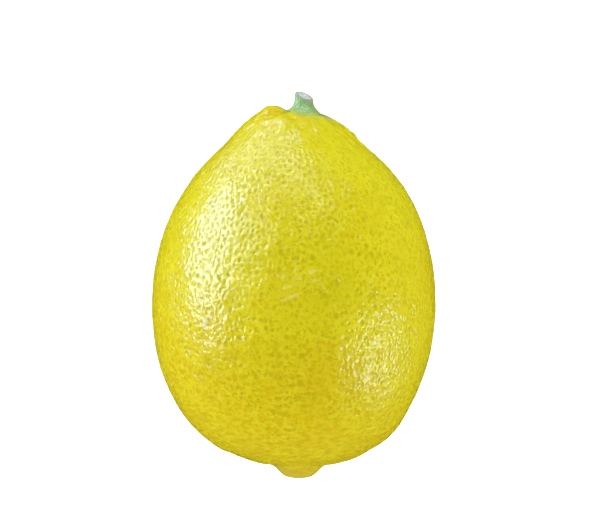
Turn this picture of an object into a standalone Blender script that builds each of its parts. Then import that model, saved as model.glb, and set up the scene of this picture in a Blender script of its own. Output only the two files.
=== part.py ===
"""A whole lemon, picked with its stub of stem, lying on its side.

Two pieces: the fruit in its pitted rind, and the stem button, which is the green calyx with the cut stem
on it. The fruit's long axis lies along Y with the stem at +Y, and +Z is up. The origin is on the table,
under the middle of the whole lemon.
"""

import math

import bmesh
import bpy
import numpy as np
from mathutils import Matrix, Vector, noise
from mathutils.geometry import interpolate_bezier

MM = 0.001

# The fruit, in millimetres. Stations run along its axis from the widest section, towards the stem.
RADIUS = 30.0
STEM_POLE = 41.4
BLOSSOM_POLE = -34.1
NECK_STATION = 33.0
NECK_RADIUS = 15.9
NECK_SLOPE = math.radians(50.4)
WAIST_HANDLE = 19.4
NECK_HANDLE = 5.9
STEM_POLE_HANDLE = 10.4
BLOSSOM_POLE_HANDLE = 19.3
PROFILE_STEPS = 200

# The blossom end: the tip leans a little to +X and carries the nipple.
BLOSSOM_SHIFT = 1.1
BLOSSOM_SHIFT_FROM = -29.5
BLOSSOM_SHIFT_TO = -32.5
NIPPLE_HEIGHT = 2.2
NIPPLE_RADIUS = 4.0
NIPPLE_EDGE = 0.62
NIPPLE_GROOVE = 0.3
NIPPLE_GROOVE_RADIUS = 6.4
NIPPLE_GROOVE_WIDTH = 1.4

# The stem end: the stem sits off the axis, beside a swelling, with furrows running down from it.
STEM_END_STARTS = (20.0, 28.0)
STEM_X = 2.6
STEM_STATION = 40.5
SEAT_TILT = math.radians(11.2)
SWELLING_X = -4.3
SWELLING_Z = 0.6
SWELLING_HEIGHT = 1.2
SWELLING_RADIUS = 4.8
SWELLING_CLEARS_STEM = (3.6, 6.4)
FURROW_CLEARS_STEM = 1.0
FURROW_START = 3.4
FURROW_END = 17.0
FURROW_ROUNDING = 2.0
FURROW_WIDTH_AT_STEM = 0.6

# Furrow: azimuth round the stem in degrees, depth and half width in millimetres
FURROWS = (
    (38.0, 0.30, 1.6),
    (93.0, 0.55, 1.5),
    (136.0, 0.80, 1.5),
    (196.0, 0.40, 1.7),
    (238.0, 0.70, 1.6),
    (282.0, 0.45, 1.6),
    (325.0, 0.65, 1.6),
)

# Soft dent: station, azimuth round the fruit in degrees, radius and depth in millimetres. Where the depth
# is below zero the rind swells out.
DENTS = (
    (-10.5, 38.0, 13.0, 0.75),
    (-27.0, 0.0, 8.0, -0.8),
    (21.5, 0.0, 8.0, -0.3),
    (26.0, 180.0, 8.0, 0.35),
    (39.3, 5.0, 2.6, 0.35),
    (9.0, 205.0, 15.0, 0.50),
    (-6.0, 318.0, 12.0, 0.45),
    (15.0, 300.0, 11.0, 0.35),
)
WAVINESS = 0.16
WAVE_LENGTH = 13.0

# The flat spot that the fruit rests on
FLAT_DEPTH = 0.45
FLAT_SMOOTH_FROM = 7.0
FLAT_SMOOTH_TO = 11.0

# Oil glands: each is a shallow pit in a cell of its own. They are larger than life here.
GLANDS = 1000
GLAND_SEED = 7
GLAND_JITTER = 0.30
GLAND_SETTLING = 4
END_CROWDING = 1.6
END_CROWDING_REACH = 12.0
FLOOR_SHARE = 0.5
PIT_DEPTH = 0.28
PIT_DEPTH_SPREAD = 0.3
PITS_START_FROM_CALYX = (1.0, 3.0)
PIT_DEPTH_ON_NIPPLE = 0.5
PITS_FADE_BEFORE_NIPPLE = 1.5
ROOM_FOR_DEPTH = 1.6
RIDGE_UNEVENNESS = 0.15
RIND_CREASE = math.radians(50.0)

# The stem button. Heights run up from the plane of the calyx's rim.
CALYX_RADIUS = 4.1
CALYX_THICKNESS = 0.6
CALYX_EDGE = 0.1
CALYX_UNDERCUT = 0.25
CALYX_LOBES = 5
CALYX_LOBE_DEPTH = 0.28
CALYX_LOBES_TURNED = math.radians(90.0)
CALYX_LOBES_FADE_BY = 1.2
STEM_RADIUS = 2.12
STEM_HEIGHT = 4.05
FLARE_HEIGHT = 2.9
FLARE_STEPS = 7
FLARE_SPREAD = 1.6
FLARE_FALL = 1.1
CUT_RADIUS = 1.74
CUT_CROWN = 0.1
CUT_BEVEL = 0.35
CUT_NORMAL = Vector((0.37, 0.86, 0.38))
STEM_LEAN = Vector((-1.06, 0.0, 0.0))
STEM_LEANS_BY = 3.8
STEM_TURNS_FROM = 0.3
BUTTON_SEGMENTS = 40
BUTTON_CREASE = math.radians(45.0)
GAP = 0.3

# The tools that cut the flat spot and the seat only have to reach past the fruit
CUTTER_REACH = 10.0
MERGE_DISTANCE = 0.01

# Finishes
RIND_COLOUR = (0.67, 0.60, 0.03)
RIND_ROUGHNESS = 0.35
STEM_COLOUR = (0.35, 0.52, 0.23)
STEM_ROUGHNESS = 0.6

# Where the lemon lies: its lowest and highest stations are equally far from the origin
LYING_HEIGHT = RADIUS - FLAT_DEPTH
TIP_STATION = BLOSSOM_POLE - NIPPLE_HEIGHT
TOP_STATION = 45.0
MIDDLE_STATION = (TIP_STATION + TOP_STATION) / 2


def smooth_step(low, high, value):
    """0 below low, 1 above high, and a smooth rise between them."""
    share = np.clip((value - low) / (high - low), 0.0, 1.0)
    return share * share * (3.0 - 2.0 * share)


def profile():
    """Half of the fruit's outline, as stations and radii from the stem's pole to the blossom's."""
    slope = Vector((math.cos(NECK_SLOPE), -math.sin(NECK_SLOPE)))
    neck = Vector((NECK_STATION, NECK_RADIUS))
    knots = (
        (
            Vector((STEM_POLE, 0.0)),
            Vector((STEM_POLE, STEM_POLE_HANDLE)),
            neck + slope * NECK_HANDLE,
            neck,
        ),
        (
            neck,
            neck - slope * NECK_HANDLE,
            Vector((WAIST_HANDLE, RADIUS)),
            Vector((0.0, RADIUS)),
        ),
        (
            Vector((0.0, RADIUS)),
            Vector((-WAIST_HANDLE, RADIUS)),
            Vector((BLOSSOM_POLE, BLOSSOM_POLE_HANDLE)),
            Vector((BLOSSOM_POLE, 0.0)),
        ),
    )
    points = [knots[0][0]]
    for knot in knots:
        points += interpolate_bezier(*knot, PROFILE_STEPS)[1:]
    line = np.array([tuple(p) for p in points])
    return line[:, 0], line[:, 1]


def polar_angles(stations, radii):
    """The polar angle on a unit ball for each point of the profile, so that points spread evenly over the
    ball come out evenly over the fruit, and closer together towards its two ends."""
    middle = (radii[1:] + radii[:-1]) / 2
    length = np.hypot(np.diff(stations), np.diff(radii))
    travelled = np.concatenate(([0.0], np.cumsum(length)))
    at = (travelled[1:] + travelled[:-1]) / 2
    nearest_end = np.minimum(at, travelled[-1] - at)
    crowding = 1.0 + END_CROWDING * np.exp(-((nearest_end / END_CROWDING_REACH) ** 2))
    share = np.concatenate(([0.0], np.cumsum(middle * length * crowding)))
    return np.arccos(1.0 - 2.0 * share / share[-1])


def on_profile(directions):
    """The plain body of the fruit: a point and its outward normal for each unit direction."""
    stations, radii = profile()
    angles = polar_angles(stations, radii)
    along, across = np.gradient(stations), np.gradient(radii)
    size = np.hypot(along, across)
    polar = np.arccos(np.clip(directions[:, 1], -1.0, 1.0))
    azimuth = np.arctan2(directions[:, 2], directions[:, 0])
    station = np.interp(polar, angles, stations)
    radius = np.interp(polar, angles, radii)
    axial = np.interp(polar, angles, across / size)
    radial = np.interp(polar, angles, -along / size)
    point = np.stack((radius * np.cos(azimuth), station, radius * np.sin(azimuth)), axis=1)
    normal = np.stack((radial * np.cos(azimuth), axial, radial * np.sin(azimuth)), axis=1)
    return point, normal


def furrows(point):
    """How far the furrows round the stem lower the rind."""
    across_x = point[:, 0] - STEM_X
    across_z = point[:, 2]
    reach = np.hypot(across_x, across_z)
    stem_end = smooth_step(*STEM_END_STARTS, point[:, 1])
    fade = smooth_step(FURROW_CLEARS_STEM, FURROW_START, reach)
    fade *= 1.0 - smooth_step(FURROW_START, FURROW_END, reach)
    lowered = np.zeros(len(point))
    for azimuth, depth, half_width in FURROWS:
        turn = math.radians(azimuth)
        along = across_x * math.cos(turn) + across_z * math.sin(turn)
        aside = across_z * math.cos(turn) - across_x * math.sin(turn)
        width = half_width * (FURROW_WIDTH_AT_STEM + reach / FURROW_END)
        ahead = smooth_step(0.0, FURROW_ROUNDING, along)
        lowered += depth * ahead * np.exp(-((aside / width) ** 2))
    return lowered * fade * stem_end


def dents(point):
    """How far the soft dents lower the rind."""
    lowered = np.zeros(len(point))
    stations, radii = profile()
    for station, azimuth, radius, depth in DENTS:
        turn = math.radians(azimuth)
        body_radius = np.interp(-station, -stations, radii)
        centre = (body_radius * math.cos(turn), station, body_radius * math.sin(turn))
        away = np.linalg.norm(point - centre, axis=1)
        lowered += depth * np.exp(-((away / radius) ** 2))
    return lowered


def waves(point):
    """The slow unevenness of a grown thing."""
    return WAVINESS * np.array([noise.noise(Vector(p) / WAVE_LENGTH) for p in point])


def rind(directions):
    """The fruit's skin without its pits: a point and a normal for each unit direction, in millimetres from
    the middle of the widest section."""
    point, normal = on_profile(directions)
    raised = waves(point) - dents(point) - furrows(point)
    skin = point + normal * raised[:, None]

    blossom_end = smooth_step(-BLOSSOM_SHIFT_FROM, -BLOSSOM_SHIFT_TO, -point[:, 1])
    skin[:, 0] += BLOSSOM_SHIFT * blossom_end
    from_tip = np.hypot(point[:, 0], point[:, 2])
    nipple = NIPPLE_HEIGHT / (1.0 + np.exp((from_tip - NIPPLE_RADIUS) / NIPPLE_EDGE))
    groove = NIPPLE_GROOVE * np.exp(-(((from_tip - NIPPLE_GROOVE_RADIUS) / NIPPLE_GROOVE_WIDTH) ** 2))
    skin[:, 1] -= (nipple - groove) * blossom_end

    stem_end = smooth_step(*STEM_END_STARTS, point[:, 1])
    from_swelling = np.hypot(point[:, 0] - SWELLING_X, point[:, 2] - SWELLING_Z)
    from_stem = np.hypot(point[:, 0] - STEM_X, point[:, 2])
    swelling = SWELLING_HEIGHT * np.exp(-((from_swelling / SWELLING_RADIUS) ** 2))
    swelling *= smooth_step(*SWELLING_CLEARS_STEM, from_stem)
    skin[:, 1] += swelling * stem_end
    return skin, normal


def unit(vectors):
    return vectors / np.linalg.norm(vectors, axis=1)[:, None]


def spiral(count, jitter, seed):
    """Unit directions spread evenly over a ball along a golden spiral, each moved a little at random."""
    index = np.arange(count) + 0.5
    height = 1.0 - 2.0 * index / count
    turn = index * math.pi * (3.0 - math.sqrt(5.0))
    round_axis = np.sqrt(1.0 - height**2)
    even = np.stack((round_axis * np.cos(turn), height, round_axis * np.sin(turn)), axis=1)
    spacing = math.sqrt(4.0 * math.pi / count)
    return unit(even + np.random.default_rng(seed).normal(0.0, jitter * spacing, even.shape))


def hull(directions):
    bm = bmesh.new()
    for direction in directions:
        bm.verts.new(direction)
    bmesh.ops.convex_hull(bm, input=bm.verts)
    bmesh.ops.recalc_face_normals(bm, faces=bm.faces)
    return bm


def settled(directions):
    """The same directions, each moved to the middle of its neighbours."""
    bm = hull(directions)
    middles = []
    for vertex in bm.verts:
        around = [edge.other_vert(vertex).co for edge in vertex.link_edges]
        middles.append(sum(around, Vector()) / len(around))
    bm.free()
    return unit(np.array(middles))


def around(vertex):
    """The faces round a vertex of the hull, in order."""
    loop = first = vertex.link_loops[0]
    faces = []
    while not faces or loop != first:
        faces.append(loop.face)
        loop = loop.link_loop_prev.link_loop_radial_next
    return faces


def gland_cells():
    """A ball covered with cells, one for each gland. Each cell has a small three-cornered floor, and walls
    that run out to the ridge round it. Also gives each vertex's gland, or -1 on a ridge."""
    directions = spiral(GLANDS, GLAND_JITTER, GLAND_SEED)
    for _ in range(GLAND_SETTLING):
        directions = settled(directions)
    glands = hull(directions)
    bm = bmesh.new()
    ridge = {face: bm.verts.new(face.calc_center_median()) for face in glands.faces}
    owners = [-1] * len(ridge)
    for owner, gland in enumerate(glands.verts):
        corners = [ridge[face] for face in around(gland)]
        count = len(corners)
        centre = sum((corner.co for corner in corners), Vector()) / count
        starts = [round(count * third / 3) for third in range(4)]
        floor = []
        for start, end in zip(starts, starts[1:]):
            span = [corners[i % count].co for i in range(start, end + 1)]
            middle = sum(span, Vector()) / len(span)
            floor.append(bm.verts.new(centre.lerp(middle, FLOOR_SHARE)))
            owners.append(owner)
        for third in range(3):
            here, following = floor[third], floor[(third + 1) % 3]
            for i in range(starts[third], starts[third + 1]):
                bm.faces.new((here, corners[i], corners[(i + 1) % count]))
            bm.faces.new((here, corners[starts[third + 1] % count], following))
        bm.faces.new(floor)
    glands.free()
    bmesh.ops.recalc_face_normals(bm, faces=bm.faces)
    return bm, np.array(owners)


def pit_depths(point):
    """The depth of a gland's pit at each point. The rind is smooth where it is pressed flat and under the
    calyx, and the pits on the nipple are shallow."""
    from_flat = np.linalg.norm(point - (0.0, 0.0, -RADIUS), axis=1)
    from_stem = np.linalg.norm(point - (STEM_X, STEM_STATION, 0.0), axis=1)
    on_nipple = smooth_step(-BLOSSOM_POLE - PITS_FADE_BEFORE_NIPPLE, -BLOSSOM_POLE, -point[:, 1])
    clear_of_flat = smooth_step(FLAT_SMOOTH_FROM, FLAT_SMOOTH_TO, from_flat)
    clear_of_stem = smooth_step(*PITS_START_FROM_CALYX, from_stem - CALYX_RADIUS)
    shallower = 1.0 - (1.0 - PIT_DEPTH_ON_NIPPLE) * on_nipple
    return PIT_DEPTH * clear_of_flat * clear_of_stem * shallower


def room_in_cells(bm, owners, skin):
    """For each gland, how far the middle of its floor is from the nearest corner of its ridge."""
    floors = np.array([skin[owners == owner].mean(axis=0) for owner in range(GLANDS)])
    room = np.full(GLANDS, np.inf)
    bm.verts.index_update()
    for face in bm.faces:
        indices = [vertex.index for vertex in face.verts]
        owner = owners[indices].max()
        for index in indices:
            if owners[index] < 0:
                room[owner] = min(room[owner], np.linalg.norm(skin[index] - floors[owner]))
    return room


def lying(point):
    """Millimetres about the fruit's widest section, as metres in the frame of the whole lemon."""
    return (np.asarray(point) + (0.0, -MIDDLE_STATION, LYING_HEIGHT)) * MM


def make_material(name, colour, roughness):
    material = bpy.data.materials.new(name)
    material.use_nodes = True
    shader = material.node_tree.nodes["Principled BSDF"]
    shader.inputs["Base Color"].default_value = (*colour, 1.0)
    shader.inputs["Roughness"].default_value = roughness
    return material


def place(name, mesh, collection, material=None):
    obj = bpy.data.objects.new(name, mesh)
    collection.objects.link(obj)
    if material:
        mesh.materials.append(material)
    return obj


def seat_frame():
    """The plane that the calyx lies in, as a matrix in metres whose Z axis points up the stem."""
    up = Vector((math.sin(SEAT_TILT), math.cos(SEAT_TILT), 0.0))
    side = Vector((math.cos(SEAT_TILT), -math.sin(SEAT_TILT), 0.0))
    frame = Matrix((side, up.cross(side), up)).transposed().to_4x4()
    frame.translation = Vector(lying((STEM_X, STEM_STATION, 0.0)))
    return frame


def make_fruit(parts, cutters, material):
    bm, owners = gland_cells()
    directions = np.array([v.co.normalized() for v in bm.verts])
    skin, normal = rind(directions)
    random = np.random.default_rng(GLAND_SEED)
    depths = 1.0 + PIT_DEPTH_SPREAD * random.uniform(-1.0, 1.0, GLANDS)
    depths = np.minimum(depths, room_in_cells(bm, owners, skin) / ROOM_FOR_DEPTH)
    ridges = RIDGE_UNEVENNESS * random.uniform(-1.0, 1.0, len(directions))
    sunk = np.where(owners < 0, ridges, depths[owners])
    skin -= normal * (pit_depths(skin) * sunk)[:, None]
    for vertex, place_in_frame in zip(bm.verts, lying(skin)):
        vertex.co = place_in_frame
    mesh = bpy.data.meshes.new("fruit")
    bm.to_mesh(mesh)
    bm.free()
    fruit = place("fruit", mesh, parts, material)
    cut(fruit, flat_spot_cutter(cutters))
    cut(fruit, seat_cutter(cutters))
    return fruit


def flat_spot_cutter(cutters):
    """A slab under the table's surface. What it takes off the fruit leaves the small flat spot."""
    bm = bmesh.new()
    thickness = CUTTER_REACH * MM
    bmesh.ops.create_cube(bm, size=1.0)
    bmesh.ops.scale(bm, vec=(2.0 * RADIUS * MM, 2.0 * RADIUS * MM, thickness), verts=bm.verts)
    bmesh.ops.translate(bm, vec=(0.0, -MIDDLE_STATION * MM, -thickness / 2), verts=bm.verts)
    mesh = bpy.data.meshes.new("flat_spot_cutter")
    bm.to_mesh(mesh)
    bm.free()
    return place("flat_spot_cutter", mesh, cutters)


def lobed(reach, azimuth, rim=1.0):
    """A distance from the calyx's middle, let out and taken in by its lobes."""
    lobe = CALYX_LOBE_DEPTH / CALYX_RADIUS * math.cos(CALYX_LOBES * azimuth + CALYX_LOBES_TURNED)
    return reach * (1.0 + rim * lobe)


def seat_cutter(cutters):
    """A lobed disc that clears a seat for the calyx in the rind, with the same gap all round and below."""
    bm = bmesh.new()
    floor = -(CALYX_THICKNESS + GAP) * MM
    bmesh.ops.create_cone(
        bm, cap_ends=True, segments=BUTTON_SEGMENTS, radius1=1.0, radius2=1.0, depth=CUTTER_REACH * MM
    )
    bmesh.ops.translate(bm, vec=(0.0, 0.0, floor + CUTTER_REACH * MM / 2), verts=bm.verts)
    for vertex in bm.verts:
        azimuth = math.atan2(vertex.co.y, vertex.co.x)
        reach = (lobed(CALYX_RADIUS, azimuth) + GAP) * MM
        vertex.co.x = reach * math.cos(azimuth)
        vertex.co.y = reach * math.sin(azimuth)
    mesh = bpy.data.meshes.new("seat_cutter")
    bm.to_mesh(mesh)
    bm.free()
    cutter = place("seat_cutter", mesh, cutters)
    cutter.matrix_world = seat_frame()
    return cutter


def cut(target, cutter):
    cutter.hide_render = True
    cutter.display_type = "WIRE"
    modifier = target.modifiers.new("cut_" + cutter.name, "BOOLEAN")
    modifier.operation = "DIFFERENCE"
    modifier.object = cutter


def button_profile():
    """Half of the button's upright outline, as radii and heights, down its outer side."""
    flare = CALYX_RADIUS - STEM_RADIUS
    points = [(0.0, STEM_HEIGHT + CUT_CROWN), (CUT_RADIUS / 2, STEM_HEIGHT + CUT_CROWN * 3 / 4)]
    points += [(CUT_RADIUS, STEM_HEIGHT), (STEM_RADIUS, STEM_HEIGHT - CUT_BEVEL)]
    for step in range(FLARE_STEPS):
        share = step / FLARE_STEPS
        height = FLARE_HEIGHT * (1.0 - share) ** FLARE_FALL
        points.append((STEM_RADIUS + flare * share**FLARE_SPREAD, height))
    points += [(CALYX_RADIUS - CALYX_EDGE, 0.0), (CALYX_RADIUS, -CALYX_UNDERCUT)]
    points += [(CALYX_RADIUS - CALYX_UNDERCUT, -CALYX_THICKNESS), (0.0, -CALYX_THICKNESS)]
    return points


def turned(points):
    """A closed mesh turned from a half outline in millimetres about Z."""
    line = bpy.data.meshes.new("half_outline")
    vertices = [Vector((radius, 0.0, height)) * MM for radius, height in points]
    edges = [(i, i + 1) for i in range(len(points) - 1)]
    line.from_pydata(vertices, edges, [])
    turning = bpy.data.objects.new("half_outline", line)
    bpy.context.scene.collection.objects.link(turning)
    screw = turning.modifiers.new("turn", "SCREW")
    screw.steps = screw.render_steps = BUTTON_SEGMENTS
    screw.use_merge_vertices = True
    screw.merge_threshold = MERGE_DISTANCE * MM
    mesh = bpy.data.meshes.new_from_object(turning.evaluated_get(bpy.context.evaluated_depsgraph_get()))
    bpy.data.objects.remove(turning)
    bpy.data.meshes.remove(line)
    return mesh


def lean(local):
    """Moves a point of the upright button to where the leaning stem carries it: each level turns from the
    plane of the calyx to the plane of the cut."""
    height = local.z / MM
    share = float(smooth_step(STEM_TURNS_FROM, STEM_HEIGHT, height))
    frame = seat_frame()
    up = frame.to_3x3() @ Vector((0.0, 0.0, 1.0))
    tilt = Matrix.Identity(3).lerp(up.rotation_difference(CUT_NORMAL).to_matrix(), share)
    azimuth = math.atan2(local.y, local.x)
    rim = 1.0 - float(smooth_step(0.0, CALYX_LOBES_FADE_BY, height))
    reach = lobed(math.hypot(local.x, local.y), azimuth, rim)
    outward = Vector((math.cos(azimuth), math.sin(azimuth), 0.0))
    flat = frame.to_3x3() @ (outward * reach)
    leaning = float(smooth_step(0.0, STEM_LEANS_BY, height))
    return frame.translation + up * local.z + STEM_LEAN * MM * leaning + tilt @ flat


def make_stem_button(parts, material):
    mesh = turned(button_profile())
    for vertex in mesh.vertices:
        vertex.co = lean(vertex.co.copy())
    mesh.name = "stem_button"
    return place("stem_button", mesh, parts, material)


def main():
    for obj in list(bpy.data.objects):
        bpy.data.objects.remove(obj)
    parts = bpy.data.collections.new("lemon")
    cutters = bpy.data.collections.new("cutters")
    for collection in (parts, cutters):
        bpy.context.scene.collection.children.link(collection)
    rind_material = make_material("rind", RIND_COLOUR, RIND_ROUGHNESS)
    stem_material = make_material("green_stem", STEM_COLOUR, STEM_ROUGHNESS)
    fruit = make_fruit(parts, cutters, rind_material)
    button = make_stem_button(parts, stem_material)
    for obj, crease in ((fruit, RIND_CREASE), (button, BUTTON_CREASE)):
        obj.data.shade_smooth()
        obj.data.set_sharp_from_angle(angle=crease)


main()
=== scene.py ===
"""The looks of a whole lemon lying on its side, seen from straight above.

The rind is one closed skin with about eight thousand oil glands, each a real pit in the mesh. The stem
button is a turned form, pushed about by formulas into a leaning, slanting, slightly lobed stub.
"""

import math

import bmesh
import bpy
import numpy as np
from mathutils import Matrix, Vector, noise
from mathutils.geometry import delaunay_2d_cdt, interpolate_bezier
from mathutils.kdtree import KDTree


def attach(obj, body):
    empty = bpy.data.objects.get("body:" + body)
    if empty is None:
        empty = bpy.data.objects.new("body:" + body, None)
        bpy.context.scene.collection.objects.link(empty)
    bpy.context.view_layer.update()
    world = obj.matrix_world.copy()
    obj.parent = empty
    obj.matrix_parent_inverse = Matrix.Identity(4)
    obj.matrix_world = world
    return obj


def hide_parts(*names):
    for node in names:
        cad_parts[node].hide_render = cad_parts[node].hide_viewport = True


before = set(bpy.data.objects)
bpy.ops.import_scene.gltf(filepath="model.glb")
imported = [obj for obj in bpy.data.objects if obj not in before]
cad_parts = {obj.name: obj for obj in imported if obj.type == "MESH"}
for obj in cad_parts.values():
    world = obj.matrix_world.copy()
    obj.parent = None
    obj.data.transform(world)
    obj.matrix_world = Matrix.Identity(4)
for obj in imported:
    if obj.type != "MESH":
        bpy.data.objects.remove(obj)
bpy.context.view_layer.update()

MM = 0.001

# The fruit, in millimetres. Stations run along its axis from the widest section, towards the stem.
RADIUS = 30.0
STEM_POLE = 41.4
BLOSSOM_POLE = -34.1
NECK_STATION = 33.0
NECK_RADIUS = 15.9
NECK_SLOPE = math.radians(50.4)
WAIST_HANDLE = 19.4
NECK_HANDLE = 5.9
STEM_POLE_HANDLE = 10.4
BLOSSOM_POLE_HANDLE = 19.3
PROFILE_STEPS = 200

# The blossom end: the tip leans a little to +X and carries the nipple.
BLOSSOM_SHIFT = 1.1
BLOSSOM_SHIFT_FROM = -29.5
BLOSSOM_SHIFT_TO = -32.5
NIPPLE_HEIGHT = 2.2
NIPPLE_RADIUS = 4.0
NIPPLE_EDGE = 0.62
NIPPLE_GROOVE = 0.3
NIPPLE_GROOVE_RADIUS = 6.4
NIPPLE_GROOVE_WIDTH = 1.4

# The stem end: the stem sits off the axis, beside a swelling, with furrows running down from it.
STEM_END_STARTS = (20.0, 28.0)
STEM_X = 2.6
STEM_STATION = 40.5
SEAT_TILT = math.radians(11.2)
SWELLING_X = -4.3
SWELLING_Z = 0.6
SWELLING_HEIGHT = 1.2
SWELLING_RADIUS = 4.8
SWELLING_CLEARS_STEM = (3.6, 6.4)
FURROW_CLEARS_STEM = 1.0
FURROW_START = 3.4
FURROW_END = 17.0
FURROW_ROUNDING = 2.0
FURROW_WIDTH_AT_STEM = 0.6

# Furrow: azimuth round the stem in degrees, depth and half width in millimetres
FURROWS = (
    (38.0, 0.30, 1.6),
    (93.0, 0.55, 1.5),
    (136.0, 0.80, 1.5),
    (196.0, 0.40, 1.7),
    (238.0, 0.70, 1.6),
    (282.0, 0.45, 1.6),
    (325.0, 0.65, 1.6),
)

# Soft dent: station, azimuth round the fruit in degrees, radius and depth in millimetres. Where the depth
# is below zero the rind swells out.
DENTS = (
    (-10.5, 38.0, 13.0, 0.75),
    (-27.0, 0.0, 8.0, -0.8),
    (21.5, 0.0, 8.0, -0.3),
    (26.0, 180.0, 8.0, 0.35),
    (39.3, 5.0, 2.6, 0.35),
    (9.0, 205.0, 15.0, 0.50),
    (-6.0, 318.0, 12.0, 0.45),
    (15.0, 300.0, 11.0, 0.35),
)
WAVINESS = 0.16
WAVE_LENGTH = 13.0

# Where the lemon lies: it is pressed a little flat below, and its lowest and highest stations are equally
# far from the origin
FLAT_DEPTH = 0.45
LYING_HEIGHT = RADIUS - FLAT_DEPTH
TIP_STATION = BLOSSOM_POLE - NIPPLE_HEIGHT
TOP_STATION = 45.0
MIDDLE_STATION = (TIP_STATION + TOP_STATION) / 2

# Oil glands, at their real spacing of about 1.4 mm
GLANDS = 7990
GLAND_SEED = 11
GLAND_JITTER = 0.45
GLAND_SETTLING = 1
END_CROWDING = 1.6
END_CROWDING_REACH = 12.0
NET_MERGE_DISTANCE = 1e-9
PIT_DEPTH = 0.11
PIT_DEPTH_SPREAD = 0.5

# The rind between the pits: how high and how long its pebbles are
PEBBLES = (
    (0.12, 5.2),
    (0.07, 2.4),
    (0.05, 1.2),
)

# Pits and pebbles keep only a share of their height by the calyx, on the nipple and in faint places.
RELIEF_RISES_FROM_CALYX = (3.0, 18.0)
RELIEF_BY_CALYX = 0.15
RELIEF_FADES_BEFORE_NIPPLE = 1.5
RELIEF_ON_NIPPLE = 0.5
PITS_WHERE_FAINT = 0.4
PEBBLES_WHERE_FAINT = 0.5

# Pebbles, folds and lumps each read another stretch of the noise, so that they don't run together
PEBBLE_SHIFT = 50.0
FOLD_SHIFT = 30.0
LUMP_SHIFT = 20.0

# Soft round places on the rind. Each has its station, its azimuth round the fruit in degrees, its radius
# in millimetres and its strength. These are a warmer yellow, or greener where it is below zero.
WARM_PLACES = (
    (-34.0, 90.0, 26.0, 1.4),
    (-11.7, 79.0, 5.0, 1.1),
    (-24.0, 72.0, 7.0, 0.5),
    (-20.0, 132.0, 14.0, 1.0),
    (5.0, 20.0, 14.0, 0.3),
    (0.0, 165.0, 14.0, 0.4),
    (37.0, 60.0, 9.0, -0.7),
    (20.0, 110.0, 16.0, -0.3),
    (39.4, 82.0, 1.3, 0.9),
    (40.2, 128.0, 2.0, 0.7),
    (37.3, 114.0, 0.9, 1.5),
    (-16.0, 76.0, 7.0, 0.7),
    (6.7, 98.0, 1.0, 1.3),
    (1.9, 103.0, 0.7, 1.2),
    (-7.8, 82.0, 1.0, 1.2),
    (-16.6, 128.0, 2.6, 0.8),
)
# How much warmer and a little darker a furrow is painted for each millimetre of its depth, partly as
# painted shade in the furrow
FURROW_WARMTH = 2.0
# Where the pits and the net between them are clear. Elsewhere they are faint.
FAINTEST = 0.75
CLEAR_PLACES = (
    (12.0, 130.0, 15.0, 0.8),
    (28.0, 125.0, 9.0, 0.4),
    (37.0, 118.0, 6.0, 0.5),
    (4.0, 88.0, 9.0, 0.6),
    (-8.0, 50.0, 12.0, 0.8),
    (-10.0, 92.0, 10.0, 0.4),
    (-11.0, 130.0, 10.0, 0.4),
    (20.0, 60.0, 14.0, 0.25),
    (5.0, 250.0, 18.0, 0.5),
    (-10.0, 200.0, 12.0, 0.4),
    (10.0, 320.0, 14.0, 0.5),
    (-13.0, 78.0, 5.0, -0.6),
    (-26.0, 72.0, 5.0, -0.3),
)
# Towards the blossom end the net draws out into rows that run round the fruit, except on the facet
ROWS_FROM = 0.0
ROWS_FULL = 18.0
ROWLESS_PLACES = ((-8.0, 50.0, 11.0, 0.8),)
# Pale scuffs in the wax, and a healed scar of tan cork
SCUFFS = (
    (-3.2, 126.8, 0.9, 1.0),
    (-2.4, 126.2, 0.7, 0.9),
    (-18.6, 126.0, 0.8, 0.8),
    (-19.2, 122.0, 0.7, 0.7),
)
SCARS = ((-2.1, 124.2, 1.3, 0.9),)
# Green that the rind has kept round the calyx, mostly on one side of it
GREEN_REACH = (4.2, 8.0)
GREEN_PLACES = (
    (40.4, 58.0, 3.2, 0.9),
    (39.9, 35.0, 2.4, 0.8),
    (40.6, 85.0, 2.0, 0.5),
)
# Where the rind is crinkled most, on the facet
CRINKLED_PLACES = (
    (-8.0, 50.0, 11.0, 1.0),
    (6.0, 25.0, 8.0, 0.5),
)
# The nipple is duller and browner than the rest
DULL_PLACES = ((-36.0, 90.0, 4.6, 0.9),)
# Shallow nicks, smooth and bare of wax. They are painted darker too, as painted shade where each dent
# breaks the highlight.
NICKS = (
    (20.4, 113.0, 0.7, 1.0),
    (19.2, 114.5, 0.7, 1.0),
    (14.7, 110.0, 0.6, 1.0),
    (13.6, 111.5, 0.6, 1.0),
)

# Round the stem the pits give way to soft lumps, which fade out between two distances from it
LUMPS_FULL_FROM_CALYX = 2.0
LUMPS_WITHIN = (10.0, 20.0)
LUMP_HEIGHT = 0.42
LUMP_LENGTH = 1.9
# Small humps between the furrows, in front of the stem: station, azimuth, radius and height
HUMPS = (
    (38.2, 100.0, 1.7, 0.40),
    (36.3, 99.0, 1.3, 0.25),
    (36.3, 117.0, 1.5, 0.35),
    (38.6, 122.0, 1.6, 0.30),
    (35.9, 84.0, 1.6, 0.25),
    (34.2, 128.0, 1.5, 0.25),
)

# Folds in the rind: broken arcs round a middle place, on the side of it towards the stem. Each has its
# radius and height in millimetres.
FOLDS_MIDDLE = (-4.0, 86.0)
FOLDS = (
    (6.6, 0.20),
    (9.4, 0.24),
    (11.7, 0.22),
)
# How straight towards the stem a direction points where an arc ends, and where it is full
FOLDS_SPAN = (0.55, 0.85)
# Distances from the middle are at least this, so that none is zero
LEAST_AWAY = 0.1
FOLD_WIDTH = 0.40
FOLD_WANDERS = 1.6
FOLD_BREAKS = 2.2
FOLD_EVENNESS = 0.5

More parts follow.
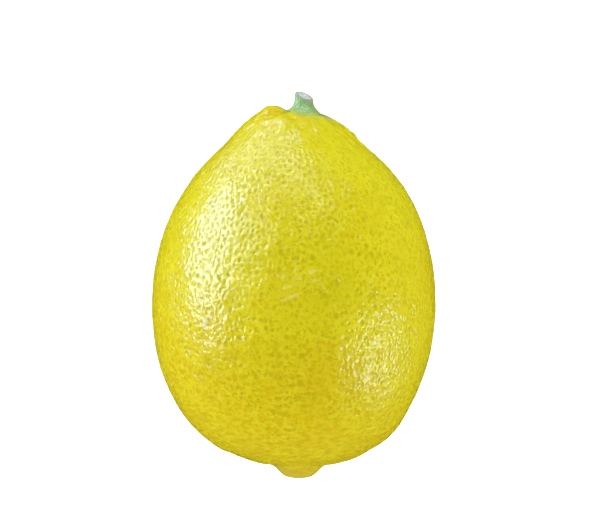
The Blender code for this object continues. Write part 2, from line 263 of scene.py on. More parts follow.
# The stem button. Heights run up from the plane of the calyx's rim.
CALYX_RADIUS = 4.1
CALYX_THICKNESS = 0.6
CALYX_LOBES = 5
CALYX_LOBE_DEPTH = 0.28
CALYX_LOBES_TURNED = math.radians(90.0)
CALYX_LOBES_FADE_BY = 1.2
CALYX_EDGE = 0.1
CALYX_UNDERCUT = 0.25
STEM_RADIUS = 2.12
STEM_HEIGHT = 4.05
FLARE_HEIGHT = 2.9
FLARE_STEPS = 16
FLARE_SPREAD = 1.6
FLARE_FALL = 1.1
CUT_RADIUS = 1.74
CUT_BEVEL = 0.35
# How far out and down the bevel's middle point is, as shares of its width and its height
CUT_BEVEL_MIDDLE = (0.6, 0.3)
FACE_STEPS = 8
FACE_HOLLOW = 0.22
FACE_DISH = 3.0
CUT_NORMAL = Vector((0.37, 0.86, 0.38))
STEM_LEAN = Vector((-1.06, 0.0, 0.0))
STEM_LEANS_BY = 3.8
STEM_TURNS_FROM = 0.3
BUTTON_SEGMENTS = 96
MERGE_DISTANCE = 0.01
# The radii between which the cut wood gives way to bark
BARK_EDGE = (1.25, 1.6)
# The side of the stem that faces +X, away from the window light, is painted a darker green as painted
# shade: how far it faces there, and how strong this is
STEM_SHADED = (-0.1, 0.9)
STEM_SHADE = 0.7

# What is painted on the rind and on the stem button, one number per vertex, for their materials to read
RIND_PAINTS = (
    "across_cell",
    "gland_strength",
    "clear",
    "rows",
    "warmth_and_furrow_shade",
    "nicked",
    "scuffed",
    "scarred",
    "green",
    "lumpy",
    "folded",
    "crinkled",
    "dull",
)
STEM_PAINTS = ("height", "painted_shade", "cut_face")

# The patterns: the size of one wave in millimetres, and how many finer waves are laid over it. Flakes,
# rags and creases are drawn about twice as coarse as they are, so that they show.
RIND_GRAINS = (
    ("patches", 15.4, 4.0),
    ("clearings", 6.2, 2.0),
    ("clouds", 3.2, 3.0),
    ("wrinkles", 2.17, 2.0),
    ("veins", 1.56, 3.0),
    ("dashes", 1.25, 3.0),
    ("crinkles", 1.25, 1.0),
    ("rags", 1.18, 4.0),
    ("crests", 0.91, 1.0),
    ("creases", 0.77, 0.5),
    ("green_rags", 0.62, 3.0),
    ("flakes", 0.53, 3.0),
)
STEM_GRAINS = (
    ("fibres", 0.38, 3.0),
    ("specks", 0.31, 2.0),
)
# How closely a drawn-out pattern is packed along each axis. The dashes in the rows are twice as long round
# the fruit as along it, and the fibres of the bark run along the stem.
STRETCHED = {
    "dashes": (0.8, 1.7, 0.8),
    "fibres": (1.0, 0.3, 1.0),
}
# The relief that the materials add, in millimetres
NET_HEIGHT = 0.05
DIMPLE_DEPTH = 0.07
ROW_HEIGHT = 0.13
WRINKLE_HEIGHT = 0.18
CREASE_HEIGHT = 0.16
CRINKLE_HEIGHT = 0.26
FIBRE_HEIGHT = 0.12
# How many millimetres light goes into the rind. Red goes the whole way, green and blue a share of it.
LIGHT_REACH = 1.0
LIGHT_REACH_SHARES = (1.0, 0.8, 0.15)

# The colour sockets of a Mix node, by number, because others on it have the same names
MIX_A = 6
MIX_B = 7
MIX_RESULT = 2
# A Map Range node that rises smoothly. Its inputs are the value, the ends of the span that it is taken
# from, and the ends of the span that it is brought to, which are 0 and 1 unless they are given.
SMOOTH = {"interpolation_type": "SMOOTHSTEP"}

# The photograph's frame: 600 by 530 pixels, looking straight down at the fruit's outline. Its middle is
# given by its X and its station.
FRAME_WIDTH = 126.3
FRAME_MIDDLE = (1.37, 8.63)
OUTLINE_HEIGHT = 31.5
LENS = 135.0
SENSOR_WIDTH = 36.0

# The studio. Sizes and distances are in metres, and power is in watts.
CAMERA_SEES_FROM = 0.01
FLOOR_SIZE = 4.0
FLOOR_GLOW = 1.4
SKY_STRENGTH = 0.91
# Lamp: name, place, width, height, roll in degrees, power and colour. Glints show in the gloss alone, and
# soft lights light the matte alone.
GLINTS = (
    ("window_glints", (-0.335, 0.145, 0.105), 0.59, 0.18, 20.0, 3.9, "#B4D0FF"),
    ("sky_glints", (-0.235, 0.225, 0.27), 0.24, 0.22, 0.0, 0.62, "#C8DAFF"),
    ("far_window_glints", (-0.03, 0.33, 0.07), 0.15, 0.12, 0.0, 0.27, "#C8DAFF"),
    ("low_glints", (-0.045, 0.095, 0.010), 0.08, 0.014, 0.0, 0.019, "#C8DAFF"),
    ("far_sky_glints", (0.12, 0.34, 0.22), 0.16, 0.14, 0.0, 0.26, "#C8DAFF"),
    ("small_window_glints", (0.335, -0.15, 0.10), 0.17, 0.21, 0.0, 0.66, "#C8DEFF"),
)
SOFT_LIGHTS = (
    ("window_light", (-0.45, 0.08, 0.05), 0.40, 0.26, 0.0, 0.5, "#FFFFFF"),
    ("right_fill", (0.45, 0.05, 0.05), 0.40, 0.40, 0.0, 0.04, "#FFFFFF"),
    ("far_fill", (0.0, 0.45, 0.05), 0.40, 0.40, 0.0, 0.2, "#FFFFFF"),
)


def smooth_step(low, high, value):
    """0 below low, 1 above high, and a smooth rise between them."""
    share = np.clip((value - low) / (high - low), 0.0, 1.0)
    return share * share * (3.0 - 2.0 * share)


def at_least(least, share):
    """A share of 0 to 1, brought to between the least and 1."""
    return least + (1.0 - least) * share


def lying(point):
    """Millimetres about the fruit's widest section, as metres in the frame of the whole lemon."""
    return (np.asarray(point) + (0.0, -MIDDLE_STATION, LYING_HEIGHT)) * MM


def profile():
    """Half of the fruit's outline, as stations and radii from the stem's pole to the blossom's."""
    slope = Vector((math.cos(NECK_SLOPE), -math.sin(NECK_SLOPE)))
    neck = Vector((NECK_STATION, NECK_RADIUS))
    knots = (
        (
            Vector((STEM_POLE, 0.0)),
            Vector((STEM_POLE, STEM_POLE_HANDLE)),
            neck + slope * NECK_HANDLE,
            neck,
        ),
        (
            neck,
            neck - slope * NECK_HANDLE,
            Vector((WAIST_HANDLE, RADIUS)),
            Vector((0.0, RADIUS)),
        ),
        (
            Vector((0.0, RADIUS)),
            Vector((-WAIST_HANDLE, RADIUS)),
            Vector((BLOSSOM_POLE, BLOSSOM_POLE_HANDLE)),
            Vector((BLOSSOM_POLE, 0.0)),
        ),
    )
    points = [knots[0][0]]
    for knot in knots:
        points += interpolate_bezier(*knot, PROFILE_STEPS)[1:]
    line = np.array([tuple(p) for p in points])
    return line[:, 0], line[:, 1]


def polar_angles(stations, radii):
    """The polar angle on a unit ball for each point of the profile, so that points spread evenly over the
    ball come out evenly over the fruit, and closer together towards its two ends."""
    middle = (radii[1:] + radii[:-1]) / 2
    length = np.hypot(np.diff(stations), np.diff(radii))
    travelled = np.concatenate(([0.0], np.cumsum(length)))
    at = (travelled[1:] + travelled[:-1]) / 2
    nearest_end = np.minimum(at, travelled[-1] - at)
    crowding = 1.0 + END_CROWDING * np.exp(-((nearest_end / END_CROWDING_REACH) ** 2))
    share = np.concatenate(([0.0], np.cumsum(middle * length * crowding)))
    return np.arccos(1.0 - 2.0 * share / share[-1])


def on_profile(directions):
    """The plain body of the fruit: a point and its outward normal for each unit direction."""
    stations, radii = profile()
    angles = polar_angles(stations, radii)
    along, across = np.gradient(stations), np.gradient(radii)
    size = np.hypot(along, across)
    polar = np.arccos(np.clip(directions[:, 1], -1.0, 1.0))
    azimuth = np.arctan2(directions[:, 2], directions[:, 0])
    station = np.interp(polar, angles, stations)
    radius = np.interp(polar, angles, radii)
    axial = np.interp(polar, angles, across / size)
    radial = np.interp(polar, angles, -along / size)
    point = np.stack((radius * np.cos(azimuth), station, radius * np.sin(azimuth)), axis=1)
    normal = np.stack((radial * np.cos(azimuth), axial, radial * np.sin(azimuth)), axis=1)
    return point, normal


def on_body(station, azimuth):
    """The point of the plain body at a station and an azimuth in degrees."""
    stations, radii = profile()
    turn = math.radians(azimuth)
    radius = np.interp(-station, -stations, radii)
    return radius * math.cos(turn), station, radius * math.sin(turn)


def furrows(point):
    """How far the furrows round the stem lower the rind."""
    across_x = point[:, 0] - STEM_X
    across_z = point[:, 2]
    reach = np.hypot(across_x, across_z)
    stem_end = smooth_step(*STEM_END_STARTS, point[:, 1])
    fade = smooth_step(FURROW_CLEARS_STEM, FURROW_START, reach)
    fade *= 1.0 - smooth_step(FURROW_START, FURROW_END, reach)
    lowered = np.zeros(len(point))
    for azimuth, depth, half_width in FURROWS:
        turn = math.radians(azimuth)
        along = across_x * math.cos(turn) + across_z * math.sin(turn)
        aside = across_z * math.cos(turn) - across_x * math.sin(turn)
        width = half_width * (FURROW_WIDTH_AT_STEM + reach / FURROW_END)
        ahead = smooth_step(0.0, FURROW_ROUNDING, along)
        lowered += depth * ahead * np.exp(-((aside / width) ** 2))
    return lowered * fade * stem_end


def spots(point, places):
    """The sum of soft round spots, each given by station, azimuth, radius and strength."""
    total = np.zeros(len(point))
    for station, azimuth, radius, strength in places:
        away = np.linalg.norm(point - on_body(station, azimuth), axis=1)
        total += strength * np.exp(-((away / radius) ** 2))
    return total


def grown_noise(point, length, shift=0.0):
    """The unevenness of a grown thing, in waves of a given length. Another shift gives another pattern."""
    return np.array([noise.noise(Vector(p) / length) for p in point + shift])


def rind(directions):
    """The fruit's skin without its pits: a point and a normal for each unit direction, in millimetres from
    the middle of the widest section."""
    point, normal = on_profile(directions)
    raised = WAVINESS * grown_noise(point, WAVE_LENGTH) - spots(point, DENTS) - furrows(point)
    skin = point + normal * raised[:, None]

    blossom_end = smooth_step(-BLOSSOM_SHIFT_FROM, -BLOSSOM_SHIFT_TO, -point[:, 1])
    skin[:, 0] += BLOSSOM_SHIFT * blossom_end
    from_tip = np.hypot(point[:, 0], point[:, 2])
    nipple = NIPPLE_HEIGHT / (1.0 + np.exp((from_tip - NIPPLE_RADIUS) / NIPPLE_EDGE))
    groove = NIPPLE_GROOVE * np.exp(-(((from_tip - NIPPLE_GROOVE_RADIUS) / NIPPLE_GROOVE_WIDTH) ** 2))
    skin[:, 1] -= (nipple - groove) * blossom_end

    stem_end = smooth_step(*STEM_END_STARTS, point[:, 1])
    from_swelling = np.hypot(point[:, 0] - SWELLING_X, point[:, 2] - SWELLING_Z)
    from_stem = np.hypot(point[:, 0] - STEM_X, point[:, 2])
    swelling = SWELLING_HEIGHT * np.exp(-((from_swelling / SWELLING_RADIUS) ** 2))
    swelling *= smooth_step(*SWELLING_CLEARS_STEM, from_stem)
    skin[:, 1] += swelling * stem_end
    return skin, normal


def unit(vectors):
    return vectors / np.linalg.norm(vectors, axis=1)[:, None]


def spiral(count, jitter, seed):
    """Unit directions spread evenly over a ball along a golden spiral, each moved a little at random."""
    index = np.arange(count) + 0.5
    height = 1.0 - 2.0 * index / count
    turn = index * math.pi * (3.0 - math.sqrt(5.0))
    round_axis = np.sqrt(1.0 - height**2)
    even = np.stack((round_axis * np.cos(turn), height, round_axis * np.sin(turn)), axis=1)
    spacing = math.sqrt(4.0 * math.pi / count)
    return unit(even + np.random.default_rng(seed).normal(0.0, jitter * spacing, even.shape))


def netted(directions):
    """A ball with a vertex at each direction, joined into a net of triangles. The ball is opened out flat,
    as seen from its first vertex, and that vertex then closes the net's outline."""
    to_pole = Vector(directions[0]).rotation_difference(Vector((0.0, 0.0, 1.0))).to_matrix()
    others = directions[1:] @ np.array(to_pole).T
    flat = others[:, :2] / (1.0 - others[:, 2:])
    triangles = delaunay_2d_cdt([Vector(place) for place in flat], [], [], 0, NET_MERGE_DISTANCE)[2]
    bm = bmesh.new()
    vertices = [bm.verts.new(direction) for direction in directions]
    for triangle in triangles:
        bm.faces.new([vertices[index + 1] for index in triangle])
    for edge in [edge for edge in bm.edges if edge.is_boundary]:
        bm.faces.new((*edge.verts, vertices[0]))
    bmesh.ops.recalc_face_normals(bm, faces=bm.faces)
    return bm


def settled(directions):
    """The same directions, each moved to the middle of its neighbours."""
    bm = netted(directions)
    middles = []
    for vertex in bm.verts:
        around = [edge.other_vert(vertex).co for edge in vertex.link_edges]
        middles.append(sum(around, Vector()) / len(around))
    bm.free()
    return unit(np.array(middles))


def gland_cells():
    """A ball covered with cells, each with a gland at its middle, and the glands' directions."""
    directions = spiral(GLANDS, GLAND_JITTER, GLAND_SEED)
    for _ in range(GLAND_SETTLING):
        directions = settled(directions)
    bm = netted(directions)
    # How far across its cell a point lies: 0 at the gland and 1 on the cell's rim
    across = bm.verts.layers.float.new("across_cell")
    glands = set(bm.verts)
    for corner in bmesh.ops.poke(bm, faces=bm.faces[:])["verts"]:
        corner[across] = 1.0
    between_glands = [edge for edge in bm.edges if glands.issuperset(edge.verts)]
    bmesh.ops.rotate_edges(bm, edges=between_glands)
    bmesh.ops.subdivide_edges(bm, edges=bm.edges[:], cuts=1, use_grid_fill=True)
    return bm, directions


def depths_of_pits(skin, gland_directions):
    """The depth of the nearest gland's pit for each point of the skin."""
    gland_places, _ = rind(gland_directions)
    tree = KDTree(len(gland_places))
    for index, place in enumerate(gland_places):
        tree.insert(place, index)
    tree.balance()
    random = np.random.default_rng(GLAND_SEED)
    depths = PIT_DEPTH * (1.0 + PIT_DEPTH_SPREAD * random.uniform(-1.0, 1.0, GLANDS))
    return depths[[tree.find(place)[1] for place in skin]]


def relief_share(skin, from_stem):
    """The share of their height that pits and pebbles keep on the nipple and by the calyx."""
    on_nipple = smooth_step(-BLOSSOM_POLE - RELIEF_FADES_BEFORE_NIPPLE, -BLOSSOM_POLE, -skin[:, 1])
    clear_of_stem = smooth_step(*RELIEF_RISES_FROM_CALYX, from_stem - CALYX_RADIUS)
    return at_least(RELIEF_BY_CALYX, clear_of_stem) * at_least(RELIEF_ON_NIPPLE, 1.0 - on_nipple)


def folds(point):
    """How far the broken arcs of the folds raise the rind."""
    from_middle = point - on_body(*FOLDS_MIDDLE)
    away = np.linalg.norm(from_middle, axis=1) + FOLD_WANDERS * grown_noise(point, FOLD_BREAKS)
    towards_stem = from_middle[:, 1] / np.maximum(away, LEAST_AWAY)
    raised = np.zeros(len(point))
    for radius, height in FOLDS:
        raised += height * np.exp(-(((away - radius) / FOLD_WIDTH) ** 2))
    broken = FOLD_EVENNESS + grown_noise(point, FOLD_BREAKS, FOLD_SHIFT)
    return raised * smooth_step(*FOLDS_SPAN, towards_stem) * broken


def marks(skin, from_stem):
    """What is painted on the rind at places of its own, by name, for each point of the skin."""
    rows = smooth_step(ROWS_FROM, ROWS_FULL, -skin[:, 1]) - spots(skin, ROWLESS_PLACES)
    return {
        "rows": np.clip(rows, 0.0, 1.0),
        # The furrows are painted warmer by their depth, partly as painted shade in them
        "warmth_and_furrow_shade": spots(skin, WARM_PLACES) + FURROW_WARMTH * furrows(skin),
        "green": 1.0 - smooth_step(*GREEN_REACH, from_stem) + spots(skin, GREEN_PLACES),
        "nicked": spots(skin, NICKS),
        "scuffed": spots(skin, SCUFFS),
        "scarred": spots(skin, SCARS),
        "crinkled": spots(skin, CRINKLED_PLACES),
        "dull": spots(skin, DULL_PLACES),
    }


def make_fruit(material):
    bm, gland_directions = gland_cells()
    across_cell = np.array([v[bm.verts.layers.float["across_cell"]] for v in bm.verts])
    skin, normal = rind(np.array([v.co.normalized() for v in bm.verts]))
    from_stem = np.linalg.norm(skin - (STEM_X, STEM_STATION, 0.0), axis=1)
    depths = depths_of_pits(skin, gland_directions)
    relief = relief_share(skin, from_stem)
    clear = np.clip(FAINTEST + spots(skin, CLEAR_PLACES), 0.0, 1.0)
    lumpy = smooth_step(CALYX_RADIUS, CALYX_RADIUS + LUMPS_FULL_FROM_CALYX, from_stem)
    lumpy *= 1.0 - smooth_step(*LUMPS_WITHIN, from_stem)
    folded = folds(skin)

    raised = -depths * (1.0 - across_cell) ** 2 * relief * at_least(PITS_WHERE_FAINT, clear)
    for height, length in PEBBLES:
        pebbles = height * grown_noise(skin, length, PEBBLE_SHIFT)
        raised += pebbles * relief * at_least(PEBBLES_WHERE_FAINT, clear)
    raised += LUMP_HEIGHT * lumpy * grown_noise(skin, LUMP_LENGTH, LUMP_SHIFT) + folded
    raised += spots(skin, HUMPS)
    skin = skin + normal * raised[:, None]

    placed = lying(skin)
    # What would reach below the table is pressed flat
    placed[:, 2] = np.maximum(placed[:, 2], 0.0)
    for vertex, place in zip(bm.verts, placed):
        vertex.co = place
    mesh = bpy.data.meshes.new("rind")
    bm.to_mesh(mesh)
    bm.free()
    paints = marks(skin, from_stem) | {
        "gland_strength": relief * depths / depths.max(),
        "clear": clear,
        "lumpy": lumpy,
        "folded": folded,
    }
    place_piece("lemon_rind", mesh, paints, material, "fruit")


def place_object(name, data):
    obj = bpy.data.objects.new(name, data)
    bpy.context.scene.collection.objects.link(obj)
    return obj


def place_piece(name, mesh, paints, material, node):
    """Places a mesh as the piece that replaces a node. Its paints are numbers by name, one for each vertex,
    that its material reads."""
    for paint, values in paints.items():
        attribute = mesh.attributes.new(paint, "FLOAT", "POINT")
        attribute.data.foreach_set("value", np.asarray(values, np.float32))
    mesh.shade_smooth()
    mesh.materials.append(material)
    piece = place_object(name, mesh)
    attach(piece, "root")
    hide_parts(node)


def seat_frame():
    """The plane that the calyx lies in, as a matrix in metres whose Z axis points up the stem."""
    up = Vector((math.sin(SEAT_TILT), math.cos(SEAT_TILT), 0.0))
    side = Vector((math.cos(SEAT_TILT), -math.sin(SEAT_TILT), 0.0))
    seat = Matrix((side, up.cross(side), up)).transposed().to_4x4()
    seat.translation = Vector(lying((STEM_X, STEM_STATION, 0.0)))
    return seat


def button_profile():
    """Half of the button's upright outline, as radii and heights, down its outer side. The cut face is a
    shallow dish, because the bark round it has stayed proud of the drying wood."""
    flare = CALYX_RADIUS - STEM_RADIUS
    points = []
    for step in range(FACE_STEPS):
        share = step / FACE_STEPS
        points.append((CUT_RADIUS * share, STEM_HEIGHT - FACE_HOLLOW * (1.0 - share**FACE_DISH)))
    out, down = CUT_BEVEL_MIDDLE
    points += [
        (CUT_RADIUS, STEM_HEIGHT),
        (CUT_RADIUS + out * (STEM_RADIUS - CUT_RADIUS), STEM_HEIGHT - down * CUT_BEVEL),
        (STEM_RADIUS, STEM_HEIGHT - CUT_BEVEL),
    ]
    for step in range(FLARE_STEPS):
        share = step / FLARE_STEPS
        height = FLARE_HEIGHT * (1.0 - share) ** FLARE_FALL
        points.append((STEM_RADIUS + flare * share**FLARE_SPREAD, height))
    points += [(CALYX_RADIUS - CALYX_EDGE, 0.0), (CALYX_RADIUS, -CALYX_UNDERCUT)]
    points += [(CALYX_RADIUS - CALYX_UNDERCUT, -CALYX_THICKNESS), (0.0, -CALYX_THICKNESS)]
    return points


def turned(points):
    """A closed mesh in metres, turned about Z from a half outline in millimetres."""
    line = bpy.data.meshes.new("half_outline")
    edges = [(i, i + 1) for i in range(len(points) - 1)]
    line.from_pydata([Vector((radius, 0.0, height)) * MM for radius, height in points], edges, [])
    turning = place_object("half_outline", line)
    screw = turning.modifiers.new("turn", "SCREW")
    screw.steps = screw.render_steps = BUTTON_SEGMENTS
    screw.use_merge_vertices = True
    screw.merge_threshold = MERGE_DISTANCE * MM
    mesh = bpy.data.meshes.new_from_object(turning.evaluated_get(bpy.context.evaluated_depsgraph_get()))
    bpy.data.objects.remove(turning)
    bpy.data.meshes.remove(line)
    return mesh


def lobed(reach, azimuth, rim):
    """A distance from the calyx's middle, let out and taken in by its lobes."""
    lobe = CALYX_LOBE_DEPTH / CALYX_RADIUS * math.cos(CALYX_LOBES * azimuth + CALYX_LOBES_TURNED)
    return reach * (1.0 + rim * lobe)


def lean(local):
    """Moves a point of the upright button to where the leaning stem carries it: each level turns from the
    plane of the calyx to the plane of the cut."""
    height = local.z / MM
    share = float(smooth_step(STEM_TURNS_FROM, STEM_HEIGHT, height))
    seat = seat_frame()
    up = seat.to_3x3() @ Vector((0.0, 0.0, 1.0))
    tilt = Matrix.Identity(3).lerp(up.rotation_difference(CUT_NORMAL).to_matrix(), share)
    azimuth = math.atan2(local.y, local.x)
    rim = 1.0 - float(smooth_step(0.0, CALYX_LOBES_FADE_BY, height))
    reach = lobed(math.hypot(local.x, local.y), azimuth, rim)
    outward = Vector((math.cos(azimuth), math.sin(azimuth), 0.0))
    flat = seat.to_3x3() @ (outward * reach)
    leaning = float(smooth_step(0.0, STEM_LEANS_BY, height))
    return seat.translation + up * local.z + STEM_LEAN * MM * leaning + tilt @ flat


def make_stem_button(material):
    mesh = turned(button_profile())
    upright = np.array([v.co for v in mesh.vertices]) / MM
    for vertex in mesh.vertices:
        vertex.co = lean(vertex.co.copy())
    height = upright[:, 2]
    reach = np.hypot(upright[:, 0], upright[:, 1])
    facing = upright[:, 0] / np.maximum(reach, MERGE_DISTANCE)
    # The middle of the button's underside is as near the axis as the cut face is, so it is left out
    above_rim = height > 0.0
    paints = {
        "cut_face": above_rim * (1.0 - smooth_step(*BARK_EDGE, reach)),
        "height": height,
        # Painted shade on the side of the stem that faces +X, away from the window light
        "painted_shade": STEM_SHADE * smooth_step(*STEM_SHADED, facing),
    }
    place_piece("green_stem_button", mesh, paints, material, "stem_button")


def linear(colour):
    """An sRGB hex colour as linear red, green, blue and alpha."""
    channels = [int(colour[i : i + 2], 16) / 255 for i in (1, 3, 5)]
    return (*[c / 12.92 if c <= 0.04045 else ((c + 0.055) / 1.055) ** 2.4 for c in channels], 1.0)


def add(tree, kind, inputs, output=0, **settings):
    """Adds a node with its settings, and gives back one of its outputs. Inputs are values, or outputs of
    other nodes to link, and are named or counted as they are on the node."""
    node = tree.nodes.new("ShaderNode" + kind)
    for name, value in settings.items():
        setattr(node, name, value)
    for name, value in inputs.items() if isinstance(inputs, dict) else enumerate(inputs):
        if isinstance(value, bpy.types.NodeSocket):
            tree.links.new(value, node.inputs[name])
        else:
            node.inputs[name].default_value = value
    return node.outputs[output]


def new_material(name):
    """A material with nothing in it but its output."""
    material = bpy.data.materials.new(name)
    material.use_nodes = True
    tree = material.node_tree
    tree.nodes.remove(tree.nodes["Principled BSDF"])
    return material, tree, tree.nodes["Material Output"].inputs["Surface"]


def patterns(tree, paints, grains):
    """What a material is mixed from, by name: the numbers painted on the mesh, and noises of many sizes."""
    place = add(tree, "TexCoord", {}, "Object")
    found = {name: add(tree, "Attribute", {}, "Fac", attribute_name=name) for name in paints}
    for name, size, detail in grains:
        sockets = {"Vector": place, "Scale": 1.0 / (size * MM), "Detail": detail}
        if name in STRETCHED:
            sockets["Vector"] = add(tree, "Mapping", {"Vector": place, "Scale": STRETCHED[name]})
        found[name] = add(tree, "TexNoise", sockets)
    return found


def glands_and_net(tree, pattern):
    """The patterns with those of the glands and of the net between them. A gland's own patch is ragged.
    The net has veins in it, and is clearer in some places."""
    ragged = add(tree, "Math", (pattern["rags"], 1.9, pattern["across_cell"]), operation="MULTIPLY_ADD")
    gland = add(tree, "MapRange", (ragged, 1.90, 1.05), **SMOOTH)
    rim = add(tree, "MapRange", (ragged, 1.70, 2.25), **SMOOTH)
    # Nicks are painted darker along with the glands: painted shade where a dent breaks the highlight
    nick = add(tree, "MapRange", (pattern["nicked"], 0.35, 0.60), **SMOOTH)
    from_vein = add(tree, "Math", (pattern["veins"], 0.5), operation="SUBTRACT")
    from_vein = add(tree, "Math", (from_vein,), operation="ABSOLUTE")
    vein = add(tree, "MapRange", (from_vein, 0.10, 0.02, 0.0, 0.75), **SMOOTH)
    clearing = (pattern["clearings"], 0.36, 0.62, 0.0, pattern["gland_strength"])
    clearing = add(tree, "MapRange", clearing, **SMOOTH)
    clearing = add(tree, "Math", (clearing, 0.5, 0.5), operation="MULTIPLY_ADD")
    return pattern | {
        "ragged": ragged,
        "nick": nick,
        "hollow": add(tree, "Math", (gland, nick), operation="MAXIMUM"),
        "net": add(tree, "Math", (rim, vein), operation="MAXIMUM"),
        "clearness": add(tree, "Math", (pattern["clear"], clearing), operation="MULTIPLY"),
    }


def rind_colour(tree, pattern):
    """Lemon yellow, with its patches, glands, net, rows and marks laid over it in turn."""
    # Broad patches where the yellow turns warmer, with painted shade along the furrows, and olive clouds
    warm = add(tree, "Math", (pattern["patches"], 1.6, pattern["warmth_and_furrow_shade"]), operation="MULTIPLY_ADD")
    warm = add(tree, "MapRange", (warm, 0.5, 1.7))
    cloud = add(tree, "MapRange", (pattern["clouds"], 0.50, 0.68, 0.0, 0.35), **SMOOTH)

    # A gland's patch is darker and a little green, partly because there the skin over the oil is thin and
    # partly as painted shade in the pit. The skin between the glands is a paler net, partly painted light
    # on the raised skin.
    hollow = add(tree, "Math", (pattern["hollow"], pattern["clearness"]), operation="MULTIPLY")
    net = add(tree, "Math", (pattern["net"], pattern["clearness"]), operation="MULTIPLY")

    # Rows: pale dashes with mustard gaps between them, partly painted light on the dashes' ridges and
    # painted shade in the gaps
    faint_rows = add(tree, "Math", (pattern["rows"], 0.38), operation="MULTIPLY")
    gap = add(tree, "MapRange", (pattern["dashes"], 0.50, 0.36, 0.0, faint_rows), **SMOOTH)
    dash = add(tree, "MapRange", (pattern["dashes"], 0.50, 0.64, 0.0, faint_rows), **SMOOTH)

    # Marks: a painted highlight broken up along the crests of the folds, ragged green round the calyx, a
    # tan scar and flaky scuffs
    green = add(tree, "Math", (pattern["green_rags"], 0.7, pattern["green"]), operation="MULTIPLY_ADD")
    green = add(tree, "MapRange", (green, 0.45, 1.45, 0.0, 0.9), **SMOOTH)
    wear_and_sheen = {}
    for mark, grain, start, full, most in (
        ("folded", "crests", 0.02, 0.10, 0.7),
        ("scarred", "flakes", 0.25, 0.50, 0.7),
        ("scuffed", "flakes", 0.30, 0.65, 0.6),
    ):
        broken = add(tree, "Math", (pattern[grain], pattern[mark]), operation="MULTIPLY")
        wear_and_sheen[mark] = add(tree, "MapRange", (broken, start, full, 0.0, most), **SMOOTH)

    colour = linear("#DAD208")
    for share, tint in (
        (warm, "#DABE02"),
        (cloud, "#C2B404"),
        # Painted shade in the pits and painted light on the raised net, over their own colours
        (hollow, "#C6BA06"),
        (net, "#ECE420"),
        # Painted shade in the gaps between the rows' dashes, and painted light on the dashes
        (gap, "#BCA804"),
        (dash, "#E8D828"),
        # Painted highlight on the crests of the folds
        (wear_and_sheen["folded"], "#F0E870"),
        (pattern["dull"], "#C4AA3C"),
        (green, "#ACC460"),
        (wear_and_sheen["scarred"], "#A08A3A"),
        (wear_and_sheen["scuffed"], "#E4E8D0"),
    ):
        sockets = {"Factor": share, MIX_A: colour, MIX_B: linear(tint)}
        colour = add(tree, "Mix", sockets, MIX_RESULT, data_type="RGBA")
    return colour


def rind_relief(tree, pattern):
    """The normal of a rind whose net stands up, with a dimple for each gland and low ridges for the rows.
    The skin between is wrinkled and creased, less so on the lumps by the stem."""
    dimple = (pattern["ragged"], 1.55, 0.85, 0.0, pattern["gland_strength"])
    dimple = add(tree, "MapRange", dimple, **SMOOTH)
    smoother = add(tree, "Math", (pattern["lumpy"], -0.75, 1.0), operation="MULTIPLY_ADD")
    softened = add(tree, "Math", (pattern["clear"], 0.75, 0.25), operation="MULTIPLY_ADD")
    softened = add(tree, "Math", (softened, smoother), operation="MULTIPLY")
    relief = {}
    for form, height, amount in (
        (pattern["net"], NET_HEIGHT, pattern["clearness"]),
        (dimple, -DIMPLE_DEPTH, pattern["clear"]),
        (pattern["dashes"], ROW_HEIGHT, pattern["rows"]),
        (pattern["wrinkles"], WRINKLE_HEIGHT, softened),
        (pattern["creases"], CREASE_HEIGHT, softened),
        (pattern["crinkles"], CRINKLE_HEIGHT, pattern["crinkled"]),
    ):
        sockets = {"Height": form, "Strength": amount, "Distance": abs(height) * MM, **relief}
        relief = {"Normal": add(tree, "Bump", sockets, invert=height < 0.0)}
    return relief["Normal"]


def waxed_lemon_rind():
    """Lemon rind: a thin waxy skin over pale oily flesh. The wax gives soft broad highlights with crisp
    glints in them, and light goes a little way in, so that shadows in the pits stay yellow."""
    material, tree, surface = new_material("waxed_lemon_rind")
    pattern = glands_and_net(tree, patterns(tree, RIND_PAINTS, RIND_GRAINS))
    normal = rind_relief(tree, pattern)
    # The wax is thinner in the pits, and thinnest in the nicks
    wax = add(tree, "Math", (pattern["hollow"], -0.65, 1.0), operation="MULTIPLY_ADD")
    wax = add(tree, "Math", (pattern["nick"], -0.35, wax), operation="MULTIPLY_ADD")
    skin = {
        "Base Color": rind_colour(tree, pattern),
        "Roughness": 0.36,
        "IOR": 1.45,
        "Specular IOR Level": 0.04,
        "Normal": normal,
        "Subsurface Weight": 0.20,
        "Subsurface Radius": LIGHT_REACH_SHARES,
        "Subsurface Scale": LIGHT_REACH * MM,
        "Coat Weight": wax,
        "Coat Roughness": 0.14,
        "Coat Normal": normal,
    }
    tree.links.new(add(tree, "BsdfPrincipled", skin), surface)
    return material


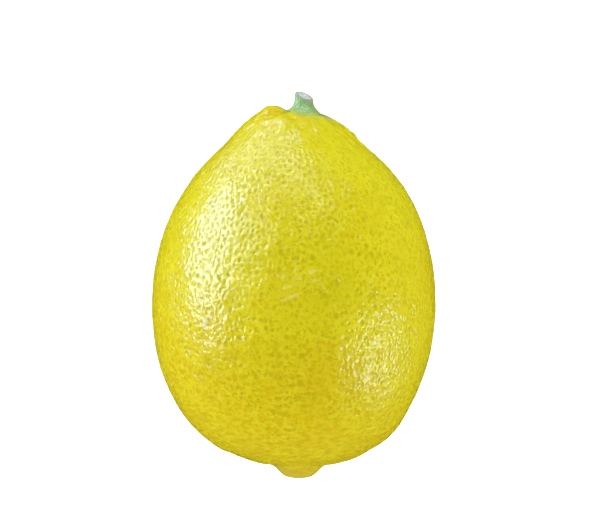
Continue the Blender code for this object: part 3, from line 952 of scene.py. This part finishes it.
def green_lemon_stem():
    """Green bark and calyx: matte and fibrous, with grey cork towards the cut. The cut wood is pale and
    dry. At its rim the calyx is as yellow as the rind that it has grown into."""
    material, tree, surface = new_material("green_lemon_stem")
    pattern = patterns(tree, STEM_PAINTS, STEM_GRAINS)
    fibre = add(tree, "MapRange", (pattern["fibres"], 0.35, 0.65), **SMOOTH)
    speck = add(tree, "MapRange", (pattern["specks"], 0.60, 0.72, 0.0, 0.6), **SMOOTH)
    yellowed = add(tree, "MapRange", (pattern["height"], 0.5, -0.2, 0.0, 0.5), **SMOOTH)
    corky = add(tree, "Math", (pattern["specks"], 0.8, pattern["height"]), operation="MULTIPLY_ADD")
    corky = add(tree, "MapRange", (corky, 3.4, 4.4, 0.0, 0.8), **SMOOTH)
    pith = add(tree, "MapRange", (pattern["specks"], 0.46, 0.60, 0.0, pattern["cut_face"]), **SMOOTH)
    colour = linear("#7FA955")
    for share, tint in (
        (fibre, "#A9D694"),
        # Painted shade: darker green on the side away from the window light
        (pattern["painted_shade"], "#7E9A4C"),
        (speck, "#5F7A3A"),
        (yellowed, "#C6C744"),
        (corky, "#98A596"),
        (pattern["cut_face"], "#A3B4A4"),
        (pith, "#E0E8DE"),
    ):
        sockets = {"Factor": share, MIX_A: colour, MIX_B: linear(tint)}
        colour = add(tree, "Mix", sockets, MIX_RESULT, data_type="RGBA")
    bark = {
        "Base Color": colour,
        "Roughness": 0.65,
        "Specular IOR Level": 0.3,
        "Normal": add(tree, "Bump", {"Height": pattern["fibres"], "Distance": FIBRE_HEIGHT * MM}),
    }
    tree.links.new(add(tree, "BsdfPrincipled", bark), surface)
    return material


def pale_card():
    """Matte card that glows like a light table, so that it stays near white in the shadows."""
    material, tree, surface = new_material("pale_card")
    card = {
        "Base Color": linear("#9E9E9E"),
        "Roughness": 0.8,
        "Emission Color": linear("#FFFFFF"),
        "Emission Strength": FLOOR_GLOW,
    }
    tree.links.new(add(tree, "BsdfPrincipled", card), surface)
    material.cycles.emission_sampling = "NONE"
    return material


def make_floor(material):
    bm = bmesh.new()
    bmesh.ops.create_grid(bm, x_segments=1, y_segments=1, size=FLOOR_SIZE / 2)
    mesh = bpy.data.meshes.new("floor")
    bm.to_mesh(mesh)
    bm.free()
    mesh.materials.append(material)
    floor = place_object("floor", mesh)
    floor.visible_glossy = False


def softbox(name, place, width, height, roll, power, colour):
    """A soft oval light at a place, facing the middle of the lemon and rolled about the way it faces."""
    light = bpy.data.lights.new(name, "AREA")
    light.color = linear(colour)[:3]
    light.shape = "ELLIPSE"
    light.size = width
    light.size_y = height
    light.energy = power
    lamp = place_object(name, light)
    lamp.location = place
    away = Vector(place) - Vector((0.0, 0.0, LYING_HEIGHT * MM))
    rolled = Matrix.Rotation(math.radians(roll), 3, "Z")
    lamp.rotation_euler = (away.to_track_quat("Z", "Y").to_matrix() @ rolled).to_euler()
    lamp.visible_camera = False
    return lamp


def light_studio():
    world = bpy.data.worlds.new("studio")
    bpy.context.scene.world = world
    world.use_nodes = True
    background = world.node_tree.nodes["Background"]
    background.inputs["Color"].default_value = linear("#FFFFFF")
    background.inputs["Strength"].default_value = SKY_STRENGTH
    world.cycles_visibility.glossy = False
    for lamp in GLINTS:
        softbox(*lamp).visible_diffuse = False
    for lamp in SOFT_LIGHTS:
        softbox(*lamp).visible_glossy = False


def make_camera():
    camera = bpy.data.cameras.new("camera")
    camera.lens = LENS
    camera.sensor_width = SENSOR_WIDTH
    camera.sensor_fit = "HORIZONTAL"
    camera.clip_start = CAMERA_SEES_FROM
    holder = place_object("camera", camera)
    distance = LENS / SENSOR_WIDTH * FRAME_WIDTH
    across, along = FRAME_MIDDLE
    holder.location = Vector((across, along - MIDDLE_STATION, OUTLINE_HEIGHT + distance)) * MM
    bpy.context.scene.camera = holder


def main():
    make_fruit(waxed_lemon_rind())
    make_stem_button(green_lemon_stem())
    make_floor(pale_card())
    light_studio()
    make_camera()
    bpy.context.scene.view_settings.view_transform = "Standard"


main()
